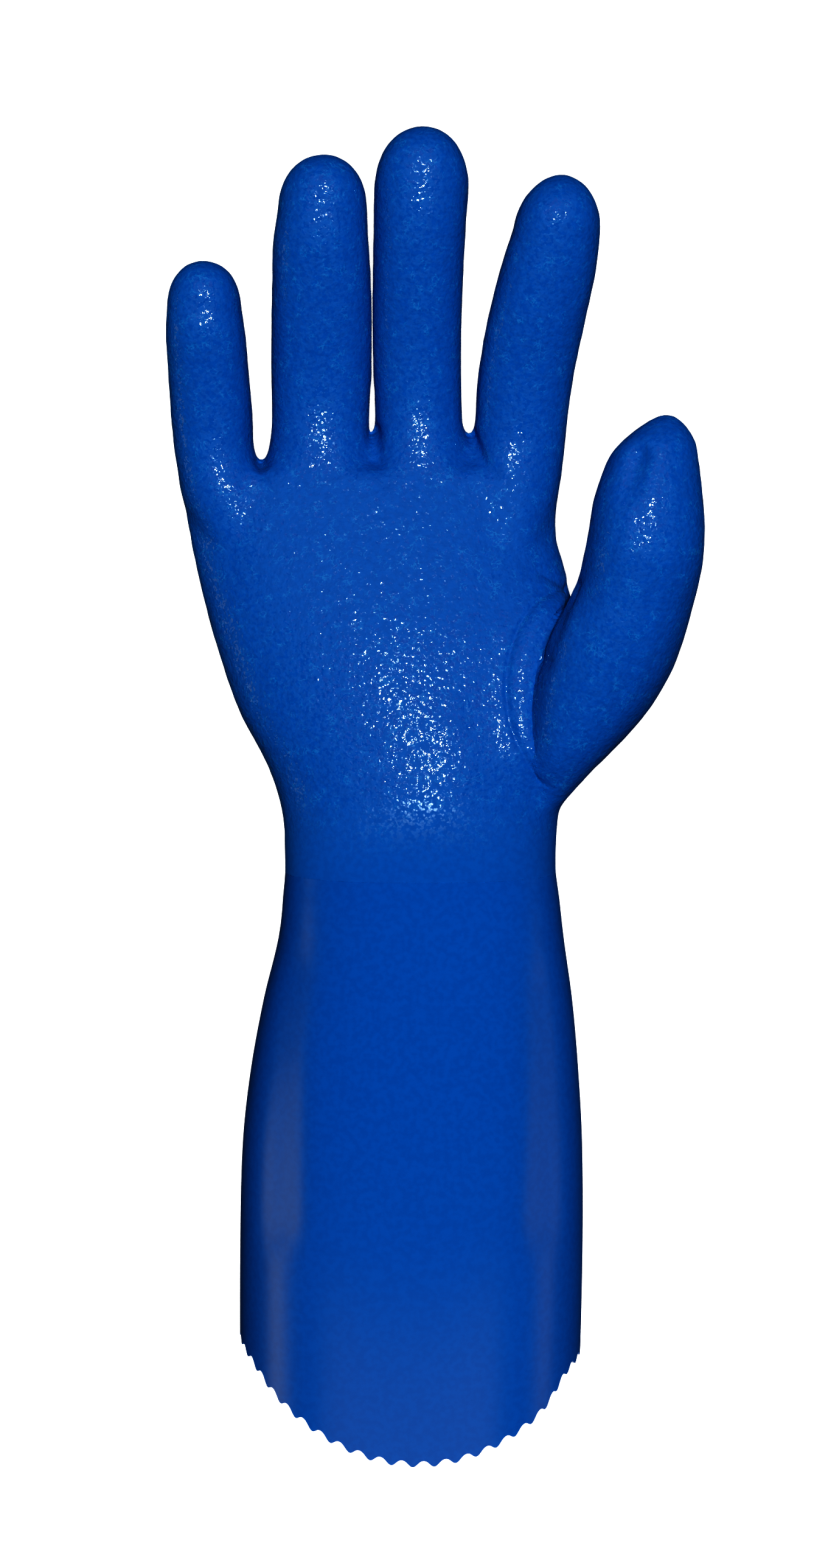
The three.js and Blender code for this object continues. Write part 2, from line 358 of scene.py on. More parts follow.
# Soft swellings, as creases of negative depth: along the palm's heel, and beside the thumb's seam
PALM_SWELLINGS = (
    Crease(
        ((-0.0115, 0.0415), (-0.0023, 0.0248), (0.0035, 0.0064), (0.0065, -0.0062)),
        depth=(-0.0004, -0.0008), width=(0.0110, 0.0110),
    ),
    Crease(((0.0127, 0.0172), (0.0169, 0.0043)), depth=(-0.0005, -0.0005), width=(0.0060, 0.0060)),
    Crease(
        ((0.0390, 0.0440), (0.0370, 0.0360), (0.0360, 0.0240), (0.0360, 0.0100)),
        depth=(-0.0030, -0.0034), width=(0.0080, 0.0090),
    ),
)
# Soft folds along the smooth cuff, beside its edges
CUFF_FOLDS = (
    Crease(
        ((-0.0310, -0.0500), (-0.0350, -0.0750), (-0.0355, -0.1000), (-0.0365, -0.1250)),
        depth=(0.0006, 0.0013), width=(0.0050, 0.0065),
    ),
    Crease(
        ((0.0370, -0.0560), (0.0395, -0.0850), (0.0390, -0.1250)),
        depth=(0.0005, 0.0011), width=(0.0050, 0.0060),
    ),
)
CREASES = (THUMB_CREASE, THUMB_VALLEY, WEB_FOLD, THUMB_TIP_DENT, *CROTCH_FOLDS, *PALM_SWELLINGS)


def select_only(obj: bpy.types.Object) -> None:
    """Selects one object alone and makes it active."""
    bpy.ops.object.select_all(action="DESELECT")
    obj.select_set(True)
    bpy.context.view_layer.objects.active = obj


def rows_of(items: bpy.types.bpy_prop_collection, name: str) -> np.ndarray:
    """One property of x, y, z of many items, one row each."""
    flat = np.empty(len(items) * 3, np.float32)
    items.foreach_get(name, flat)
    return flat.reshape(-1, 3).astype(np.float64)


def points_of(obj: bpy.types.Object) -> np.ndarray:
    """The places of an object's vertices, one row each."""
    return rows_of(obj.data.vertices, "co")


def normals_of(obj: bpy.types.Object) -> np.ndarray:
    """The vertex normals of an object, one row each."""
    return rows_of(obj.data.vertex_normals, "vector")


def edit_all(obj: bpy.types.Object) -> None:
    """Starts edit mode on one object, with all of it selected."""
    select_only(obj)
    bpy.ops.object.mode_set(mode="EDIT")
    bpy.ops.mesh.select_all(action="SELECT")


def face_outward() -> None:
    """Turns all faces of the mesh in edit mode outwards, and ends edit mode."""
    bpy.ops.mesh.select_all(action="SELECT")
    bpy.ops.mesh.normals_make_consistent(inside=False)
    bpy.ops.object.mode_set(mode="OBJECT")


def put_points(obj: bpy.types.Object, points: np.ndarray) -> None:
    """Gives an object's vertices new places."""
    obj.data.vertices.foreach_set("co", points.astype(np.float32).ravel())
    obj.data.update()


def press(obj: bpy.types.Object, depth: np.ndarray) -> None:
    """Moves an object's vertices inwards along their normals, each by its own depth."""
    put_points(obj, points_of(obj) - normals_of(obj) * depth[:, None])


def weigh(obj: bpy.types.Object, name: str, weights: np.ndarray) -> None:
    """Stores weights, one a vertex, as a group that a modifier can read."""
    group = obj.vertex_groups.new(name=name)
    for index in np.flatnonzero(weights):
        group.add([int(index)], float(weights[index]), "REPLACE")


def join_into(target: bpy.types.Object, others: list[bpy.types.Object]) -> None:
    """Joins other objects into one."""
    select_only(target)
    for other in others:
        other.select_set(True)
    bpy.ops.object.join()


def apply_modifier(obj: bpy.types.Object, kind: str, **settings: object) -> None:
    """Adds a modifier of some type, sets its properties and applies it."""
    select_only(obj)
    modifier = obj.modifiers.new(kind.title(), kind)
    for name, value in settings.items():
        setattr(modifier, name, value)
    bpy.ops.object.modifier_apply(modifier=modifier.name)


def extend(extrude: Callable[..., set], before: Section, after: Section) -> None:
    """Extrudes the selected outline of one section to the next, and resizes it to that."""
    step = Vector(after.centre) - Vector(before.centre)
    extrude(TRANSFORM_OT_translate={"value": step})
    grow = (after.half_width / before.half_width, 1.0, after.half_depth / before.half_depth)
    bpy.ops.transform.resize(value=grow, center_override=after.centre)


def squared(wave: np.ndarray, squareness: float) -> np.ndarray:
    """The cosine or sine of a place round an ellipse, made that of a squarer section."""
    return np.sign(wave) * np.abs(wave) ** (2 / squareness)


def loft(name: str, sections: list[Section], sides: int, squareness: float) -> bpy.types.Object:
    """A closed form through a row of sections: a disc, extruded and resized from one to the next.

    Args:
        name: The new object's name.
        sections: The sections, from low y to high y.
        sides: Sides of each section.
        squareness: How square the sections are.

    Returns:
        The form, as a closed mesh.
    """
    bpy.ops.object.select_all(action="DESELECT")
    first = sections[0]
    bpy.ops.mesh.primitive_circle_add(
        vertices=sides, radius=1.0, fill_type="NGON", location=first.centre,
        rotation=(QUARTER_TURN, 0.0, 0.0), scale=(first.half_width, first.half_depth, 1.0),
    )
    form = bpy.context.active_object
    form.name = name
    bpy.ops.object.transform_apply(location=True, rotation=True, scale=True)
    edit_all(form)
    for before, after in zip(sections, sections[1:]):
        extend(bpy.ops.mesh.extrude_region_move, before, after)
    face_outward()
    square_off(form, sections, squareness)
    return form


def square_off(form: bpy.types.Object, sections: list[Section], squareness: float) -> None:
    """Turns a loft's ellipses into squarer sections, pressed flat where they meet the floor.

    Args:
        form: The loft.
        sections: The sections that it goes through.
        squareness: How square they become.
    """
    points = points_of(form)
    levels = np.array([s.y for s in sections])
    nearest = np.abs(points[:, 1][:, None] - levels[None, :]).argmin(axis=1)
    measures = np.array([(s.centre[0], s.centre[2], s.half_width, s.half_depth, s.floor)
                         for s in sections])[nearest]
    angle = np.arctan2((points[:, 2] - measures[:, 1]) / measures[:, 3],
                       (points[:, 0] - measures[:, 0]) / measures[:, 2])
    points[:, 0] = measures[:, 0] + measures[:, 2] * squared(np.cos(angle), squareness)
    points[:, 2] = measures[:, 1] + measures[:, 3] * squared(np.sin(angle), squareness)
    points[:, 2] = np.maximum(points[:, 2], measures[:, 4])
    put_points(form, points)


def places(start: float, end: float, step: float) -> np.ndarray:
    """Evenly spaced places from start to end, about a step apart."""
    return np.linspace(start, end, max(2, round((end - start) / step) + 1))


def digit_sections(digit: Digit, wall: float, step: float) -> list[Section]:
    """A digit's sections with its rounded tip, spread aside, for its outside or its hollow.

    Args:
        digit: The digit.
        wall: Thickness to go inwards, or 0 for the outside.
        step: Distance between two sections.

    Returns:
        The sections, from the root to the tip.
    """
    first, last = digit.profile.rows[0][0] + wall, digit.profile.rows[-1][0]
    sections = [digit.profile.at(y).inset(wall) for y in places(first, last, step)]
    end = sections[-1]
    reach = digit.tip - wall
    for along in np.sin(np.radians(TIP_ANGLES)):
        size = (1 - along ** digit.blunt) ** (1 / digit.blunt)
        x, z = end.centre[0] + digit.lean_x * along, end.centre[2] + digit.lean_z * along
        wide, deep = end.half_width * size, end.half_depth * size
        y = end.y + reach * along
        sections.append(Section(y, x - wide, x + wide, z - deep, z + deep, end.floor))
    aside = digit.spread * smooth_step(SPREAD_FROM, SPREAD_TO, np.array([s.y for s in sections]))
    return [Section(s.y, s.left + a, s.right + a, s.low, s.high, s.floor)
            for s, a in zip(sections, aside)]


@dataclass
class HandSkin:
    """The rough coated hand: palm, back, thumb and fingers as one skin, open at the wrist."""

    palm_end: float = 0.086
    below: float = -0.034
    sides: int = 64
    digit_sides: int = 40
    step: float = 0.004
    grain: float = 0.0011
    hollow_grain: float = 0.0024
    settle: int = 10
    fillet_rounds: int = 30
    fillet_least: float = 0.02
    root_place: Pair = (0.088, 0.011)
    root_side: Pair = (0.052, 0.046)
    web_place: Pair = (0.052, 0.012)
    web_side: Pair = (0.041, 0.009)
    heel_place: Pair = (0.003, 0.014)
    heel_side: Pair = (0.020, 0.032)
    near_marks: Pair = (0.0030, 0.0016)
    crisp_angle: float = 60.0
    edge_reach: float = 0.0005
    edge_sink: float = 0.00026
    edge_from: float = -0.015
    lip: float = 0.00032
    lip_length: float = 0.004
    swell_size: float = 0.0045
    swell_height: float = 0.0002
    swell_fade: float = 0.02
    seam_centre: Pair = (0.0428, 0.0261)
    seam_radii: Pair = (0.0158, 0.0270)
    seam_fade: Pair = (0.003, -0.004)
    seam_end_high: float = 0.0440
    seam_end_low: float = 0.0390
    seam_depth: float = 0.0005
    seam_width: float = 0.0008
    gap_shift: float = 0.0009
    touch: float = 0.0003
    touch_root: Pair = (0.105, 0.113)
    touch_tip: Pair = (0.150, 0.138)
    touch_side: Pair = (-0.0445, -0.0415)
    strip_height: float = 0.0004
    strip_inward: float = 0.0034
    strip_width: float = 0.0022

    def build(self) -> bpy.types.Object:
        """Models the skin.

        Returns:
            The finished piece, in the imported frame.
        """
        skin = self.shell("hand_skin", 0.0, self.grain)
        self.smooth(skin)
        self.trim(skin, COAT_END)
        self.draw_together(skin)
        self.sculpt(skin)
        lining = self.shell("hand_lining", WALL, self.hollow_grain)
        self.trim(lining, COAT_END + self.lip_length)
        self.draw_together(lining)
        self.press_lining(lining)
        self.join_lining(skin, lining)
        skin.data.transform(Matrix.Translation(DATUM))
        return skin

    def shell(self, name: str, wall: float, grain: float) -> bpy.types.Object:
        """One closed form of the whole hand: the palm's and the digits' lofts, fused.

        Args:
            name: The new object's name.
            wall: Thickness to go inwards, or 0 for the outside.
            grain: Size of the fused mesh's faces.

        Returns:
            The form.
        """
        body = [BODY.at(y).inset(wall) for y in places(self.below, self.palm_end - wall, self.step)]
        parts = [loft(name, body, self.sides, BODY_SQUARENESS)]
        for digit in DIGITS:
            sections = digit_sections(digit, wall, self.step)
            parts.append(loft(digit.name, sections, self.digit_sides, DIGIT_SQUARENESS))
        join_into(parts[0], parts[1:])
        apply_modifier(parts[0], "REMESH", mode="VOXEL", voxel_size=grain, use_smooth_shade=True)
        return parts[0]

    def smooth(self, skin: bpy.types.Object) -> None:
        """Settles the fused skin: a little all over, and more where digits meet the palm."""
        apply_modifier(skin, "SMOOTH", factor=0.5, iterations=self.settle)
        x, y = points_of(skin)[:, :2].T
        roots = bump_at(*self.root_place, y) * smooth_step(*self.root_side, x)
        web = bump_at(*self.web_place, y) * bump_at(*self.web_side, x)
        heel = bump_at(*self.heel_place, y) * smooth_step(*self.heel_side, x)
        weights = np.round(np.clip(roots + web + heel, 0.0, 1.0), 2)
        weigh(skin, "fillets", np.where(weights > self.fillet_least, weights, 0.0))
        apply_modifier(
            skin, "SMOOTH", factor=0.5, iterations=self.fillet_rounds, vertex_group="fillets"
        )
        skin.vertex_groups.clear()

    def trim(self, form: bpy.types.Object, y: float) -> None:
        """Cuts off what lies below a plane across the glove, and leaves the form open there."""
        edit_all(form)
        bpy.ops.mesh.bisect(plane_co=(0.0, y, 0.0), plane_no=(0.0, 1.0, 0.0), clear_inner=True)
        bpy.ops.object.mode_set(mode="OBJECT")

    def draw_together(self, form: bpy.types.Object) -> None:
        """Draws the spread ring and little fingers back, and the ring finger to the middle one."""
        points = points_of(form)
        x, y = points[:, :2].T
        grown = smooth_step(SPREAD_FROM, SPREAD_TO, y)
        line = SPREAD_GAP_X - 0.5 * abs(RING.spread) * grown + self.gap_shift
        aside = smooth_step(SPREAD_SOFT, -SPREAD_SOFT, x - line)
        close = smooth_step(*self.touch_root, y) * smooth_step(*self.touch_tip, y)
        close *= self.touch * smooth_step(*self.touch_side, x)
        points[:, 0] += (close - RING.spread * grown) * aside
        put_points(form, points)

    def sculpt(self, skin: bpy.types.Object) -> None:
        """Presses the thumb's seam and the creases of the skin into its surface."""
        for reach in self.near_marks:
            self.refine(skin, reach)
        seen = SIGHT.seen(points_of(skin))
        depth = self.seam_depth_at(seen) + sum(crease.depth_at(seen) for crease in CREASES)
        press(skin, depth * smooth_step(*FACING, normals_of(skin)[:, 2]))
        self.swell(skin)
        self.sink_edge(skin)

    def press_lining(self, lining: bpy.types.Object) -> None:
        """Keeps the lining under the deepest creases, with wider flanks than the skin's."""
        deep = replace(THUMB_CREASE, width=(self.hollow_grain, self.hollow_grain))
        soft = replace(THUMB_VALLEY, width=(self.hollow_grain, THUMB_VALLEY.width[1]))
        seen = SIGHT.seen(points_of(lining))
        depth = sum(crease.depth_at(seen) for crease in (deep, soft, THUMB_TIP_DENT))
        press(lining, depth * smooth_step(*FACING, normals_of(lining)[:, 2]))

    def refine(self, skin: bpy.types.Object, reach: float) -> None:
        """Halves the faces that lie near the seam and the sharp creases.

        Args:
            skin: The outer skin.
            reach: How near.
        """
        seen = SIGHT.seen(rows_of(skin.data.polygons, "center"))
        away = np.abs(self.seam_distance(seen))
        away[seen[:, 0] > self.seam_centre[0]] = np.inf
        for crease in (THUMB_CREASE, WEB_FOLD, *CROTCH_FOLDS):
            away = np.minimum(away, crease.nearest(seen)[0])
        near = (away < reach) & (rows_of(skin.data.polygons, "normal")[:, 2] > FACING[0])
        select_only(skin)
        bpy.ops.object.mode_set(mode="EDIT")
        bpy.ops.mesh.select_mode(type="FACE")
        bpy.ops.mesh.select_all(action="DESELECT")
        bpy.ops.object.mode_set(mode="OBJECT")
        skin.data.polygons.foreach_set("select", near)
        bpy.ops.object.mode_set(mode="EDIT")
        bpy.ops.mesh.subdivide(number_cuts=1, smoothness=0.0)
        bpy.ops.object.mode_set(mode="OBJECT")

    def swell(self, skin: bpy.types.Object) -> None:
        """Makes the skin slightly uneven, as a dipped coat over a knit is, and less so at its edge."""
        weights = smooth_step(COAT_END, COAT_END + self.swell_fade, points_of(skin)[:, 1])
        weigh(skin, "swell", np.round(weights, 2))
        clouds = bpy.data.textures.new("swell", "CLOUDS")
        clouds.noise_scale = self.swell_size
        clouds.noise_depth = 1
        apply_modifier(
            skin, "DISPLACE", texture=clouds, texture_coords="LOCAL", strength=self.swell_height,
            mid_level=0.5, vertex_group="swell",
        )
        skin.vertex_groups.clear()

    def sink_edge(self, skin: bpy.types.Object) -> None:
        """Lets the coat thin out towards its edge, so that it ends in no step."""
        press(skin, self.edge_sink * smooth_step(self.edge_from, COAT_END, points_of(skin)[:, 1]))

    def seam_distance(self, seen: np.ndarray) -> np.ndarray:
        """Distance to the ellipse that the thumb's seam follows, negative inside it."""
        scaled = (seen - np.array(self.seam_centre)) / np.array(self.seam_radii)
        size = np.linalg.norm(scaled, axis=1) + TINY
        return (size - 1) * size / np.linalg.norm(scaled / np.array(self.seam_radii), axis=1)

    def seam_depth_at(self, seen: np.ndarray) -> np.ndarray:
        """Depth of the groove over the thumb's seam and, below 0, of the strip inside it.

        Args:
            seen: Rows of x, y on the sight level.

        Returns:
            The depth at each place.
        """
        away = self.seam_distance(seen)
        fade_at = np.where(seen[:, 1] > self.seam_centre[1], self.seam_end_high, self.seam_end_low)
        left = smooth_step(*self.seam_fade, seen[:, 0] - fade_at)
        groove = self.seam_depth * bump_at(0.0, self.seam_width, away)
        strip = self.strip_height * bump_at(-self.strip_inward, self.strip_width, away)
        return (groove - strip) * left

    def join_lining(self, skin: bpy.types.Object, lining: bpy.types.Object) -> None:
        """Turns the lining inwards and joins it to the skin by a lip at the wrist.

        Args:
            skin: The outer skin, open at the coat's end.
            lining: The inner form, open a lip's length further up.
        """
        edit_all(lining)
        bpy.ops.mesh.flip_normals()
        bpy.ops.object.mode_set(mode="OBJECT")
        count = len(skin.data.vertices)
        join_into(skin, [lining])
        rim = BODY.at(COAT_END)
        edge = rim.inset(self.lip)
        seat = BODY.at(COAT_END + self.lip_length).inset(2 * self.lip)
        bpy.ops.object.mode_set(mode="EDIT")
        bpy.ops.mesh.select_mode(type="EDGE")
        self.select_open_edges(skin, COAT_END)
        for before, after in ((rim, edge), (edge, seat)):
            extend(bpy.ops.mesh.extrude_edges_move, before, after)
        self.select_open_edges(skin, COAT_END + self.lip_length)
        bpy.ops.mesh.bridge_edge_loops()
        face_outward()
        inside = np.zeros(len(skin.data.vertices), np.float32)
        inside[count:] = 1.0
        mark_lining(skin, inside)
        select_only(skin)
        bpy.ops.object.shade_smooth_by_angle(angle=math.radians(self.crisp_angle))

    def select_open_edges(self, skin: bpy.types.Object, y: float) -> None:
        """Selects the open edges of the mesh in edit mode that lie at some place along the glove."""
        mesh = bmesh.from_edit_mesh(skin.data)
        bpy.ops.mesh.select_all(action="DESELECT")
        for edge in mesh.edges:
            if edge.is_boundary and all(abs(v.co.y - y) < self.edge_reach for v in edge.verts):
                edge.select_set(True)
        bmesh.update_edit_mesh(skin.data)


def mark_lining(obj: bpy.types.Object, inside: np.ndarray) -> None:
    """Stores which vertices belong to the lining, 1 or 0 for each, for the material."""
    layer = obj.data.attributes.new("lining", "FLOAT", "POINT")
    layer.data.foreach_set("value", inside.astype(np.float32))


@dataclass
class GauntletSkin:
    """The smooth cuff, from under the rough coat's edge to the pinked rim."""

    top: float = -0.0203
    under_coat: float = 0.00040
    under_range: Pair = (-0.0310, -0.0245)
    fold_facing: Pair = (0.0, 0.3)
    crisp_angle: float = 50.0
    rim_side: float = -0.1545
    rim_slant: float = -0.0026
    rim_reach: float = -0.0222
    teeth: int = 50
    sides_per_tooth: int = 12
    tooth_depth: float = 0.0017
    tooth_slimness: float = 1.2
    tooth_start: float = -0.29
    rings: int = 36
    rim_steps: int = 7200
    corner_lift: Pair = (0.0012, 0.0034)
    corner_place: float = 0.90
    corner_width: float = 0.10

    def build(self) -> bpy.types.Object:
        """Models the cuff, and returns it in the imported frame."""
        cuff = self.tube()
        self.shape(cuff)
        self.thicken(cuff)
        cuff.data.transform(Matrix.Translation(DATUM))
        return cuff

    def tube(self) -> bpy.types.Object:
        """An open tube of the right number of sides and rings, with its axis along the glove."""
        bpy.ops.object.select_all(action="DESELECT")
        sides = self.teeth * self.sides_per_tooth
        bpy.ops.mesh.primitive_circle_add(
            vertices=sides, radius=1.0, fill_type="NOTHING", location=(0.0, 0.0, 0.0),
            rotation=(QUARTER_TURN, 0.0, 0.0),
        )
        cuff = bpy.context.active_object
        cuff.name = "gauntlet_skin"
        bpy.ops.object.transform_apply(location=True, rotation=True, scale=True)
        edit_all(cuff)
        for _ in range(self.rings):
            step = {"value": (0.0, -1.0 / self.rings, 0.0)}
            bpy.ops.mesh.extrude_edges_move(TRANSFORM_OT_translate=step)
        face_outward()
        return cuff

    def rim_at(self, side: np.ndarray) -> np.ndarray:
        """The rim's place along the glove, without its teeth.

        Args:
            side: -1 at the left edge of the cuff and 1 at the right.

        Returns:
            y at each place: further over the palm and the back.
        """
        lift = self.corner_lift[0] * bump_at(-self.corner_place, self.corner_width, side)
        lift += self.corner_lift[1] * bump_at(self.corner_place, self.corner_width, side)
        reach = self.rim_reach * (1 - side * side)
        return self.rim_side + self.rim_slant * side + reach + lift

    def tooth_at(self, turn: np.ndarray) -> np.ndarray:
        """How far the teeth stand out at places round the cuff, in turns: a wave in each tooth."""
        wave = 0.5 + 0.5 * np.cos(math.tau * (turn * self.teeth + self.tooth_start))
        return self.tooth_depth * wave ** self.tooth_slimness

    def round_section(self, turn: np.ndarray) -> tuple[np.ndarray, np.ndarray]:
        """Places evenly spread along the cuff's rim.

        Args:
            turn: Way round the cuff, in turns.

        Returns:
            How far across and how far up each place is, from -1 to 1.
        """
        angle = np.linspace(0.0, math.tau, self.rim_steps + 1)
        side = squared(np.cos(angle), BODY_SQUARENESS)
        lift = squared(np.sin(angle), BODY_SQUARENESS)
        rim = BODY.at(self.rim_side)
        corners = np.stack([side * rim.half_width, self.rim_at(side), lift * rim.half_depth])
        steps = np.linalg.norm(np.diff(corners, axis=1), axis=0)
        way = np.concatenate([[0.0], np.cumsum(steps)])
        way /= way[-1]
        return np.interp(turn, way, side), np.interp(turn, way, lift)

    def shape(self, cuff: bpy.types.Object) -> None:
        """Gives the tube its sections, its pinked rim and its soft folds."""
        unit = points_of(cuff)
        share = np.clip(-unit[:, 1], 0.0, 1.0)
        turn = np.round(np.arctan2(unit[:, 2], unit[:, 0]) / math.tau % 1.0, 6)
        side, lift = self.round_section(turn)
        y = self.top + (self.rim_at(side) - self.tooth_at(turn) - self.top) * share
        left, right, low, high = (BODY.column(c, y) for c in Column)
        under = self.under_coat * smooth_step(*self.under_range, y)
        x = (left + right) / 2 + side * ((right - left) / 2 - under)
        z = np.maximum((low + high) / 2 + lift * ((high - low) / 2 - under), 0.0)
        points = np.stack([x, y, z], axis=1)
        put_points(cuff, points)
        depth = sum(fold.depth_at(SIGHT.seen(points)) for fold in CUFF_FOLDS)
        press(cuff, depth * smooth_step(*self.fold_facing, normals_of(cuff)[:, 2]))

    def thicken(self, cuff: bpy.types.Object) -> None:
        """Gives the wall its thickness inwards and marks the lining."""
        shell = cuff.vertex_groups.new(name="lining")
        apply_modifier(
            cuff, "SOLIDIFY", thickness=WALL, offset=-1.0, use_even_offset=False,
            shell_vertex_group=shell.name,
        )
        inside = np.zeros(len(cuff.data.vertices), np.float32)
        for vertex in cuff.data.vertices:
            inside[vertex.index] = float(any(g.weight > 0.5 for g in vertex.groups))
        cuff.vertex_groups.clear()
        mark_lining(cuff, inside)
        select_only(cuff)
        bpy.ops.object.shade_smooth_by_angle(angle=math.radians(self.crisp_angle))


class Wire:
    """A shader socket that takes part in sums, so that an expression adds its Math nodes."""

    def __init__(self, shader: "Shader", socket: bpy.types.NodeSocket) -> None:
        """Wraps one output socket of a shader."""
        self.shader = shader
        self.socket = socket

    def math(self, operation: str, *values: object) -> "Wire":
        """A Math node on this socket and some numbers or sockets after it."""
        inputs = dict(enumerate((self, *values)))
        return self.shader.add("ShaderNodeMath", {"operation": operation}, inputs)

    def __add__(self, other: object) -> "Wire":
        """Sum."""
        return self.math("ADD", other)

    def __sub__(self, other: object) -> "Wire":
        """Difference."""
        return self.math("SUBTRACT", other)

    def __rsub__(self, other: object) -> "Wire":
        """Difference from a number."""
        return (self * -1.0).math("ADD", other)

    def __mul__(self, other: object) -> "Wire":
        """Product."""
        return self.math("MULTIPLY", other)

    def between(self, low: float, high: float) -> "Wire":
        """A soft rise from 0 to 1 as the socket goes from low to high."""
        settings = {"interpolation_type": "SMOOTHSTEP", "clamp": True}
        inputs = {"Value": self, "From Min": low, "From Max": high, "To Min": 0.0, "To Max": 1.0}
        return self.shader.add("ShaderNodeMapRange", settings, inputs)


class Shader:
    """A material's nodes, added one by one and ended in a Principled surface."""

    def __init__(self, name: str) -> None:
        """Starts an empty material."""
        self.material = bpy.data.materials.new(name)
        self.material.use_nodes = True
        self.tree = self.material.node_tree
        self.tree.nodes.clear()

    def add(self, kind: str, settings: dict | None = None, inputs: dict | None = None,
            output: str | int = 0) -> Wire | None:
        """Adds one node.

        Args:
            kind: The node's type.
            settings: Its properties, set first.
            inputs: Values or wires of its sockets, by name or number.
            output: The output that is wanted.

        Returns:
            The wanted output, or None where the node has none.
        """
        node = self.tree.nodes.new(kind)
        for name, value in (settings or {}).items():
            setattr(node, name, value)
        for name, value in (inputs or {}).items():
            if isinstance(value, Wire):
                self.tree.links.new(value.socket, node.inputs[name])
            else:
                node.inputs[name].default_value = value
        return Wire(self, node.outputs[output]) if node.outputs else None

    def mix(self, factor: object, first: object, second: object) -> Wire:
        """Blends two colours by a factor."""
        settings = {"data_type": "RGBA"}
        return self.add("ShaderNodeMix", settings, {0: factor, 6: first, 7: second}, output=2)

    def finish(self, inputs: dict) -> bpy.types.Material:
        """Ends the material in a Principled surface.

        Args:
            inputs: Values or wires of its sockets.

        Returns:
            The material.
        """
        surface = self.add("ShaderNodeBsdfPrincipled", None, inputs)
        self.add("ShaderNodeOutputMaterial", None, {"Surface": surface})
        return self.material


@dataclass(frozen=True)
class NitrileFinish:
    """Blue nitrile outside, with the pale knit of the liner inside.

    The coat ends softly: its grain fades out towards its edge on the cuff.
    """

    name: str
    roughness: float
    grain_height: float
    crinkle_share: float
    deep: Colour = (0.0, 0.089, 0.335, 1.0)
    pale: Colour = (0.010, 0.135, 0.380, 1.0)
    shade: Colour = (0.0, 0.080, 0.308, 1.0)
    mottle_size: float = 0.0016
    mottle_range: Pair = (0.35, 0.65)
    shine: float = 0.18
    shine_tint: Colour = (0.60, 0.87, 1.0, 1.0)
    grain_size: float = 0.0012
    grain_top: float = 0.70
    crinkle_scale: float = 1.3
    ridge_from: float = 0.90
    patch_scale: float = 2.6
    patch_range: Pair = (0.48, 0.66)
    speck_size: float = 0.0011
    speck_range: Pair = (0.50, 0.56)
    skin_gloss: float = 0.0
    speck_gloss: float = 0.0
    worn_share: float = 0.13
    worn_length: Band = (0.028, 0.058, 0.079, 0.089)
    worn_width: Band = (-0.046, -0.034, 0.028, 0.040)
    swell_size: float = 0.0035
    swell_height: float = 0.00005
    knit: Colour = (0.72, 0.72, 0.68, 1.0)
    knit_roughness: float = 0.55
    fade: Pair = (COAT_END, 0.004)

    def material(self) -> bpy.types.Material:
        """Makes the material, which reads Object coordinates and the lining's mark."""
        shader = Shader(self.name)
        place = shader.add("ShaderNodeTexCoord", output="Object")
        lining = shader.add("ShaderNodeAttribute", {"attribute_name": "lining"}, output="Fac")
        along = shader.add("ShaderNodeSeparateXYZ", None, {0: place}, output="Y") - DATUM.y
        across = shader.add("ShaderNodeSeparateXYZ", None, {0: place}, output="X") - DATUM.x
        rough = along.between(*self.fade)
        worn = self.band(along, self.worn_length) * self.band(across, self.worn_width)
        grain = self.noise(shader, place, self.grain_size, 1.0).math("MINIMUM", self.grain_top)
        swell = self.noise(shader, place, self.swell_size, 1.0)
        rise = grain * rough * self.grain_height + swell * self.swell_height
        relief = {"Strength": 1.0, "Distance": 1.0, "Height": rise}
        bump = shader.add("ShaderNodeBump", None, relief, output="Normal")
        mottle = self.noise(shader, place, self.mottle_size, 3.0).between(*self.mottle_range)
        blue = shader.mix(mottle, self.deep, self.shade)
        blue = shader.mix(self.crinkles(shader, place) * rough, blue, self.pale)
        return shader.finish({
            "Base Color": shader.mix(lining, blue, self.knit),
            "Roughness": lining * self.knit_roughness + self.dullness(shader, place, rough, worn),
            "Specular IOR Level": self.shine,
            "Specular Tint": self.shine_tint,
            "Normal": bump,
        })

    def band(self, place: Wire, edges: Band) -> Wire:
        """1 between the two inner edges of a band, and 0 outside the outer two."""
        return place.between(*edges[:2]) * (1.0 - place.between(*edges[2:]))

    def dullness(self, shader: Shader, place: Wire, rough: Wire, worn: Wire) -> Wire:
        """Roughness of the coat: glossy specks stand in the duller skin, few in the palm's middle."""
        grains = self.noise(shader, place, self.speck_size, 1.0) - worn * self.worn_share
        gloss = grains.between(*self.speck_range) * self.speck_gloss + self.skin_gloss
        return gloss * rough * -1.0 + self.roughness

    def crinkles(self, shader: Shader, place: Wire) -> Wire:
        """Pale short strokes of the coat's crinkled skin: ridges of a fine noise, in patches."""
        fine = self.noise(shader, place, self.grain_size * self.crinkle_scale, 2.0)
        ridge = 1.0 - (fine - 0.5).math("ABSOLUTE") * 2.0
        patch = self.noise(shader, place, self.grain_size * self.patch_scale, 1.0)
        strokes = ridge.between(self.ridge_from, 1.0) * patch.between(*self.patch_range)
        return strokes * self.crinkle_share

    def noise(self, shader: Shader, place: Wire, size: float, detail: float) -> Wire:
        """A noise whose grains have some size, from 0 to 1."""
        inputs = {"Vector": place, "Scale": 1.0 / size, "Detail": detail, "Roughness": 0.5}
        return shader.add("ShaderNodeTexNoise", {"noise_dimensions": "3D"}, inputs)


